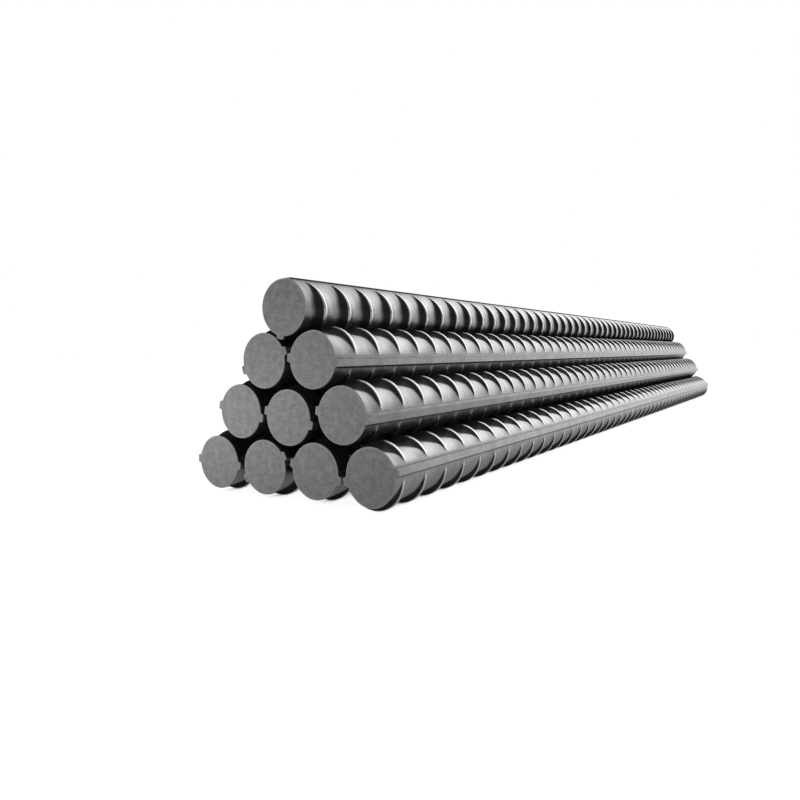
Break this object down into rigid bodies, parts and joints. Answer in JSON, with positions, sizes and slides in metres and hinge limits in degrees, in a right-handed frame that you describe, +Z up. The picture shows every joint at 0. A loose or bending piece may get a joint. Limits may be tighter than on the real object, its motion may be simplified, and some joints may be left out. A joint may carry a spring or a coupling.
{
  "type": "rebar bundle",
  "caption": "Loose stack of hot-rolled ribbed steel reinforcing bars, cut to one length and piled in rows that narrow to a single bar on top.",
  "frame": {"origin": "on the floor under the middle of the pile, half way along the bars", "axes": "+Y along the bars, +X across the rows, +Z up"},
  "size_m": [0.1432, 1, 0.1235],
  "materials": {
    "steel": "hot-rolled, dark satin mill skin with sawn ends"
  },
  "bodies": {
    "root": {"bottom_row_bar_1": "steel", "bottom_row_bar_2": "steel", "bottom_row_bar_3": "steel", "bottom_row_bar_4": "steel", "second_row_bar_1": "steel", "second_row_bar_2": "steel", "second_row_bar_3": "steel", "third_row_bar_1": "steel", "third_row_bar_2": "steel", "top_bar": "steel"}
  },
  "joints": []
}
